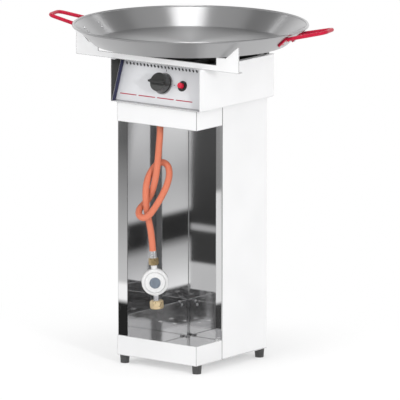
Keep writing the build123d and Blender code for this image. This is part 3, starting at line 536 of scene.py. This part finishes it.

# %% [markdown]
# Edges and bends of sheet steel mirror another part of the room and look like dark lines. They
# could be thin strips of their own, but the material can find them by itself: a bevel node finds
# the edges, and a normal that lies well away from all three axes gives away the bends. Both go
# into one factor that darkens the colour there, a painted reflection of those dark lines.

# %% Edges and bends of the sheet
edge_radius = 0.003
edge_full = 0.80
edge_none = 0.99
bend_full = 0.80
bend_none = 0.93


def face_normal(tree):
    """The direction that a face looks in."""
    return tree.nodes.new("ShaderNodeNewGeometry").outputs["True Normal"]


def painted_edge_reflection(tree, dark):
    """A factor for the painted reflection: one on flat sheet, falling to a dark value on edges
    and bends.
    """
    normal = face_normal(tree)
    round_over = tree.nodes.new("ShaderNodeBevel")
    round_over.inputs["Radius"].default_value = edge_radius
    agree = vector_calc(tree, "DOT_PRODUCT", round_over.outputs["Normal"], normal, result="Value")
    edge = fade(tree, agree, edge_full, edge_none, dark, 1.0, "LINEAR")
    slant = parts_of(tree, vector_calc(tree, "ABSOLUTE", normal, (0, 0, 0)))
    straight = calc(tree, "MAXIMUM", calc(tree, "MAXIMUM", slant["X"], slant["Y"]), slant["Z"])
    bend = fade(tree, straight, bend_full, bend_none, dark, 1.0, "LINEAR")
    return calc(tree, "MINIMUM", edge, bend)


def colour_so_far(shader):
    """The socket that feeds a shader's base colour."""
    return shader.inputs["Base Color"].links[0].from_socket


def darken(tree, shader, factor):
    """Multiplies the base colour by a factor."""
    mix = tree.nodes.new("ShaderNodeMix")
    mix.data_type = "RGBA"
    mix.blend_type = "MULTIPLY"
    mix.inputs["Factor"].default_value = 1.0
    tree.links.new(colour_so_far(shader), mix.inputs["A"])
    tree.links.new(factor, mix.inputs["B"])
    tree.links.new(mix.outputs["Result"], shader.inputs["Base Color"])


print("edges of", edge_radius, "m are darkened")

# %% [markdown]
# Most of the grill is stainless sheet. Rolling leaves a fine grain along the sheet, too fine to
# see from a step away, but it blurs reflections across the grain. The grain here is a noise
# stretched along the sheet, once for roughness and once as a slight bump, with a broad cloud for
# handling marks. A function makes it, because each piece has its own strength of painted dark
# reflection at its edges and bends.

# %% Satin sheet steel
handling_marks = (7, 7, 7)
mark_share = 0.96
smooth_share = 0.85
coarse_share = 1.15


def sheet_steel(name, along, colour, edge, metallic=0.0, roughness=None, depth=0.00002):
    """Sheet steel with its grain along the axis that has few spots to the metre."""
    material, tree, shader = finish(name, colour, metallic=metallic)
    fine = grain(tree, along)
    marks = grain(tree, handling_marks, detail=2.0)
    mottle(tree, shader, marks, [mark_share * part for part in colour], colour)
    # Painted reflection: the colour darkens on edges and bends, by the piece's edge value.
    darken(tree, shader, painted_edge_reflection(tree, edge))
    if roughness:
        spread(tree, shader, fine, smooth_share * roughness, coarse_share * roughness)
    relief(tree, shader, fine, depth)
    return material


sheet_colour = (0.86, 0.86, 0.865)
level_grain = (9, 700, 700)
satin_share = 0.2
satin_rough = 0.36
band_steel = sheet_steel(
    "band_steel",
    level_grain,
    sheet_colour,
    edge=0.12,
    metallic=satin_share,
    roughness=satin_rough,
)
dress(band_steel, "top_frame", "front_bar", "rear_bar")
dress(band_steel, "burner_leg_left", "burner_leg_right", "pilot_bracket")

# %% [markdown]
# Two pieces change colour from face to face, both by painted shade. The faces inside the burner
# box, where shade falls, are coloured nearly black, and the panel's side flanges, which stand in
# shadow, are coloured dark blue. No second material is needed: the direction that a face looks in
# tells the two apart.

# %% Burner box and panel
def tint(tree, shader, where, colour):
    """Another base colour on a part of the surface."""
    mix = tree.nodes.new("ShaderNodeMix")
    mix.data_type = "RGBA"
    mix.inputs["B"].default_value = (*colour, 1)
    tree.links.new(where, mix.inputs["Factor"])
    tree.links.new(colour_so_far(shader), mix.inputs["A"])
    tree.links.new(mix.outputs["Result"], shader.inputs["Base Color"])


def looks_to(tree, middle):
    """One where a face looks towards a point inside the piece."""
    place = tree.nodes.new("ShaderNodeNewGeometry").outputs["Position"]
    away = vector_calc(tree, "SUBTRACT", place, middle)
    along = vector_calc(tree, "DOT_PRODUCT", away, face_normal(tree), result="Value")
    return calc(tree, "LESS_THAN", along, 0.0)


sideways_least = 0.7


def looks_sideways(tree):
    """One where a face looks along X."""
    sideways = calc(tree, "ABSOLUTE", parts_of(tree, face_normal(tree))["X"])
    return calc(tree, "GREATER_THAN", sideways, sideways_least)


box_middle = (0, 0.01, 0.60)
box_inside_shade = (0.03, 0.03, 0.028)
box_steel = sheet_steel(
    "box_steel", level_grain, sheet_colour, edge=0.6, metallic=satin_share, roughness=satin_rough
)
tree, shader = inner(box_steel)
# Painted shade: faces that look into the box are coloured nearly black.
tint(tree, shader, looks_to(tree, box_middle), box_inside_shade)
dress(box_steel, "burner_box")
panel_colour = (0.74, 0.745, 0.765)
flange_shade_blue = (0.022, 0.024, 0.075)
panel_steel = sheet_steel(
    "panel_steel", level_grain, panel_colour, edge=0.5, metallic=0.12, roughness=0.38
)
tree, shader = inner(panel_steel)
# Painted shade: the side flanges stand in shadow, so they are coloured dark blue.
tint(tree, shader, looks_sideways(tree), flange_shade_blue)
dress(panel_steel, "control_panel")

# %% [markdown]
# The column's own sheet is bright rolled. Inside the column, and on the flanges that look to the
# front, it is a mirror: fully metallic, with a low roughness. On the outside it is satin and
# takes the white of the studio evenly. Inside faces that look to the rear show only in other
# mirrors, and are plainer, so that the mirrors stay calm. As on the box, the direction that a
# face looks in decides.

# %% Bright column sheet
def facing_front(tree):
    """How far a face looks to the front, from minus one to one."""
    return calc(tree, "MULTIPLY", parts_of(tree, face_normal(tree))["Y"], -1.0)


bright_colour = (0.89, 0.89, 0.895)
upright_grain = (700, 700, 9)
column_middle = (0, 0, 0.35)
front_from = 0.6
front_full = 0.8
outside_share = 0.57
mirror_share = 1.0
rear_loss = 0.5
outside_rough = 0.30
mirror_rough = 0.03
column_steel = sheet_steel("column_steel", upright_grain, bright_colour, edge=0.4, depth=0.000001)
tree, shader = inner(column_steel)
inside = looks_to(tree, column_middle)
front = fade(tree, facing_front(tree), front_from, front_full)
to_rear = fade(tree, facing_front(tree), -front_full, -front_from, 1.0, 0.0)
rear = calc(tree, "MULTIPLY", inside, to_rear)
polished = calc(tree, "MAXIMUM", calc(tree, "SUBTRACT", inside, rear), front)
share = fade(tree, polished, 0.0, 1.0, outside_share, mirror_share)
share = calc(tree, "SUBTRACT", share, calc(tree, "MULTIPLY", rear, rear_loss))
tree.links.new(share, shader.inputs["Metallic"])
rough = fade(tree, polished, 0.0, 1.0, outside_rough, mirror_rough)
tree.links.new(rough, shader.inputs["Roughness"])
dress(column_steel, "column_shell")

# %% [markdown]
# The base tray is the same sheet. Its band is satin like the other bands, and its inside is
# bright, with the clearest mirror on the walls that look to the front.

# %% Base tray
tray_colour = (0.80, 0.80, 0.805)
tray_share = 0.80
tray_rough = 0.04
tray_steel = sheet_steel("tray_steel", level_grain, tray_colour, edge=0.35)
tree, shader = inner(tray_steel)
inside = looks_to(tree, column_middle)
front = fade(tree, facing_front(tree), front_from, front_full)
polished = fade(tree, front, 0.0, 1.0, tray_share, mirror_share)
share = calc(tree, "MAXIMUM", calc(tree, "MULTIPLY", inside, polished), satin_share)
tree.links.new(share, shader.inputs["Metallic"])
tree.links.new(fade(tree, inside, 0.0, 1.0, satin_rough, tray_rough), shader.inputs["Roughness"])
dress(tray_steel, "base_tray")

# %% [markdown]
# The pan is spun and polished steel, darker than the sheet. Spinning leaves fine rings round the
# axis, and rings draw a highlight out into a streak across them. A tangent node gives the
# direction of the rings, a quarter turn sets the streak across them, and the shader's anisotropy
# does the rest, which is smoother than a bump of real rings would be at this distance. A soft
# cloud keeps the steel from looking like plastic.

# %% Polished pan steel
pan_light = (0.46, 0.46, 0.465)
pan_rough = 0.30
pan_spread = 0.02
pan_cloud = (10, 10, 10)
quarter_turn = 0.25
pan_steel, tree, shader = finish("pan_steel", pan_light, metallic=1.0)
shader.inputs["Anisotropic"].default_value = 0.92
shader.inputs["Anisotropic Rotation"].default_value = quarter_turn
rings = tree.nodes.new("ShaderNodeTangent")
rings.direction_type = "RADIAL"
rings.axis = "Z"
tree.links.new(rings.outputs["Tangent"], shader.inputs["Tangent"])
cloud = grain(tree, pan_cloud, detail=3.0)
mottle(tree, shader, cloud, [mark_share * part for part in pan_light], pan_light)
spread(tree, shader, cloud, pan_rough - pan_spread, pan_rough + pan_spread)
dress(pan_steel, "pan")

# %% [markdown]
# The stage is a wide pale floor. To the camera it shows nearly white. Near the grill it keeps a
# share of its own shading, which is where the soft shadow is, and with the distance it goes over
# into the white of the walls. Mirrors see a glow of its own, whose strength the next cells set.

# %% Floor
floor_size = 14.0
floor_colour = (0.90, 0.90, 0.90)
floor_white = 0.38
white_from = 0.2
white_full = 0.85


def mirror_rays(tree, rays):
    """One for a ray that comes from a mirror or through glass."""
    return calc(tree, "MAXIMUM", rays["Is Glossy Ray"], rays["Is Transmission Ray"])


bpy.ops.mesh.primitive_plane_add(size=floor_size)
floor = bpy.context.object
floor.name = "floor"
floor_paint, tree, shader = finish("floor_paint", floor_colour, roughness=0.9)
shader.inputs["Specular IOR Level"].default_value = 0.0
rays = tree.nodes.new("ShaderNodeLightPath").outputs
floor_place = tree.nodes.new("ShaderNodeNewGeometry").outputs["Position"]
distance = vector_calc(tree, "LENGTH", floor_place, (0, 0, 0), result="Value")
far_white = fade(tree, distance, white_from, white_full, floor_white, 1.0)
shown = calc(tree, "MULTIPLY", rays["Is Camera Ray"], far_white)
glow = tree.nodes.new("ShaderNodeEmission")
blend = tree.nodes.new("ShaderNodeMixShader")
tree.links.new(calc(tree, "MAXIMUM", shown, mirror_rays(tree, rays)), blend.inputs["Fac"])
tree.links.new(shader.outputs["BSDF"], blend.inputs[1])
tree.links.new(glow.outputs["Emission"], blend.inputs[2])
tree.links.new(blend.outputs["Shader"], tree.nodes["Material Output"].inputs["Surface"])
floor.data.materials.append(floor_paint)
print("floor of", floor_size, "m")

# %% [markdown]
# What polished steel looks like is what it mirrors. The column's walls send the view on to the
# floor in front of the grill. There the floor glows in bands of grey that only mirror rays see:
# painted reflections, laid out so that each wall and flange of the column shows its own pattern,
# while the floor itself stays plain to the camera. Each list gives distances in metres and greys,
# for the floor that one wall or flange shows, and the room is for all other mirrors.

# %% Greys that the mirrors see
room = [(0.3, 0.95), (1.0, 0.70), (2.7, 0.35)]
left_flange = [(0.35, 0.02), (0.75, 0.02), (0.8, 1.0), (0.95, 1.0), (1.0, 0.6), (2.7, 0.12)]
right_flange = [(0.3, 0.05), (0.37, 0.05), (0.4, 0.8), (1.35, 0.8), (1.4, 0.25)]
left_wall = [
    (0.3, 0.1), (0.35, 0.1), (0.37, 0.95), (0.7, 0.5), (0.8, 0.03),
    (1.0, 0.03), (1.05, 0.65), (1.4, 0.5), (1.9, 0.8),
]
back_wall = [
    (0.5, 0.6), (0.72, 0.6), (0.75, 0.05), (1.1, 0.05),
    (1.12, 0.45), (1.17, 0.45), (1.2, 0.04), (2.4, 0.08),
]


def bands(tree, distance, stops):
    """Greys along a distance, from a list of places and greys."""
    reach = stops[-1][0]
    ramp = tree.nodes.new("ShaderNodeValToRGB")
    elements = ramp.color_ramp.elements
    elements.remove(elements[1])
    for number, (place, grey) in enumerate(stops):
        element = elements[0] if number == 0 else elements.new(place / reach)
        element.position = place / reach
        element.color = (grey, grey, grey, 1)
    tree.links.new(calc(tree, "DIVIDE", distance, reach), ramp.inputs["Fac"])
    return ramp.outputs["Color"]


column_width = 0.256
floor_parts = parts_of(tree, floor_place)
x = floor_parts["X"]
y = floor_parts["Y"]
ahead = calc(tree, "MULTIPLY", y, -1.0)
sideways = calc(tree, "ABSOLUTE", x)
to_left = calc(tree, "LESS_THAN", x, 0.0)
wall_reach = calc(tree, "ADD", sideways, calc(tree, "MULTIPLY", to_left, column_width))
room_bands = bands(tree, distance, room)
wall_bands = bands(tree, wall_reach, left_wall)
print("greys at", len(left_wall) + len(back_wall), "places for the walls")

# %% [markdown]
# Every wall and flange sends the view along its own stripe of the floor, to the left of the grill
# or, by way of two walls, to the right. The stripes lie side by side at the angle at which the
# view comes in, so the distance across them tells which list holds. Close to the grill all is
# white, as on the paper.

# %% Stripes in front of the column
across_x = 0.797
across_y = 0.605
left_edges = [-0.06, 0.025, 0.093, 0.125]
right_edges = [-0.20, -0.008, 0.09]
near_edge = -0.36
near_full = -0.30


def pick(tree, where, zero, one):
    """One value where a mask is zero, and another where it is one."""
    mix = tree.nodes.new("ShaderNodeMix")
    tree.links.new(where, mix.inputs["Factor"])
    tree.links.new(zero, mix.inputs["A"])
    tree.links.new(one, mix.inputs["B"])
    return mix.outputs["Result"]


def stripes(tree, across, edges, choices):
    """The room's bands, and others from each edge on that the distance across passes."""
    shown = room_bands
    for edge, chosen in zip(edges, choices):
        shown = pick(tree, calc(tree, "GREATER_THAN", across, edge), shown, chosen)
    return shown


across_by_x = calc(tree, "MULTIPLY", x, across_x)
across_by_y = calc(tree, "MULTIPLY", y, across_y)
across_left = calc(tree, "SUBTRACT", across_by_x, across_by_y)
across_right = calc(tree, "ADD", across_by_x, across_by_y)
left_flange_bands = bands(tree, ahead, left_flange)
right_flange_bands = bands(tree, sideways, right_flange)
back_bands = bands(tree, ahead, back_wall)
left_choices = [left_flange_bands, wall_bands, right_flange_bands, room_bands]
on_left = stripes(tree, across_left, left_edges, left_choices)
on_right = stripes(tree, across_right, right_edges, [back_bands, wall_bands, room_bands])
lit = pick(tree, to_left, on_right, on_left)
lit = calc(tree, "MAXIMUM", lit, fade(tree, y, near_edge, near_full))
lit = calc(tree, "MAXIMUM", lit, rays["Is Camera Ray"])
# Painted reflections: the glow that mirrors see on the floor takes its strength from these bands.
tree.links.new(lit, glow.inputs["Strength"])
print("stripes from", near_edge, "m on")

# %% [markdown]
# The world is a studio. What the camera and mirrors see of it are white walls to well above the
# grill, and a greyer ceiling, which is what makes the pan's far wall darker than its ends. What
# lights the grill is a second, softer room: weak from the sides, so that the lamps can model the
# sheet, and stronger from above.

# %% Studio walls
wall_top = 0.28
ceiling_start = 0.68
ceiling_grey = 0.30
fill_from = 0.25
fill_full = 0.60
fill_low = 0.40
fill_high = 0.94
world = bpy.data.worlds.new("studio")
bpy.context.scene.world = world
world.use_nodes = True
tree = world.node_tree
background = tree.nodes["Background"]
background.inputs["Color"].default_value = (1, 1, 1, 1)
direction = tree.nodes.new("ShaderNodeTexCoord").outputs["Generated"]
height = parts_of(tree, direction)["Z"]
rays = tree.nodes.new("ShaderNodeLightPath").outputs
fill = fade(tree, height, fill_from, fill_full, fill_low, fill_high)
walls = fade(tree, height, wall_top, ceiling_start, 1.0, ceiling_grey)
seen = calc(tree, "MAXIMUM", rays["Is Camera Ray"], mirror_rays(tree, rays))
tree.links.new(pick(tree, seen, fill, walls), background.inputs["Strength"])
print("white walls, ceiling of grey", ceiling_grey)

# %% [markdown]
# Six lamps light the grill. The key stands to the right, a little to the front, and shapes the
# hose and the right side, and a broad one lights the front. Both would show as white sheets in
# the column's mirrors, so mirrors don't see them. Overhead, a small disk puts the bright patch on
# the pan's wall, and a wide, weak one round it lets the patch fade out along the wall. Two small
# lamps draw the light streaks at the pan's ends.

# %% Soft boxes
def soft_box(name, place, aim, size, power, shape="SQUARE"):
    """A lamp that looks at a point."""
    lamp_data = bpy.data.lights.new(name, "AREA")
    lamp_data.shape = shape
    lamp_data.size = size
    lamp_data.energy = power
    lamp = bpy.data.objects.new(name, lamp_data)
    bpy.context.scene.collection.objects.link(lamp)
    lamp.location = place
    lamp.rotation_euler = (Vector(aim) - Vector(place)).to_track_quat("-Z", "Y").to_euler()
    print(name, "at", place)
    return lamp


grill_middle = (0, 0, 0.45)
pan_middle = (0, 0, 0.85)
key_box = soft_box("key_box", (2.57, -1.3, 1.3), grill_middle, size=0.35, power=34)
front_box = soft_box("front_box", (-0.4, -3.2, 1.5), grill_middle, size=1.6, power=35)
for lamp in (key_box, front_box):
    lamp.visible_glossy = False
soft_box("top_box", (0.22, -0.20, 3.2), grill_middle, size=0.92, power=12, shape="DISK")
soft_box("top_glow", (0.22, -0.20, 3.3), grill_middle, size=3.8, power=11, shape="DISK")
soft_box("rim_lamp_left", (-2.46, 0.45, 2.55), pan_middle, size=0.35, power=1.0)
soft_box("rim_lamp_right", (0.08, 2.47, 2.55), pan_middle, size=0.35, power=1.2)
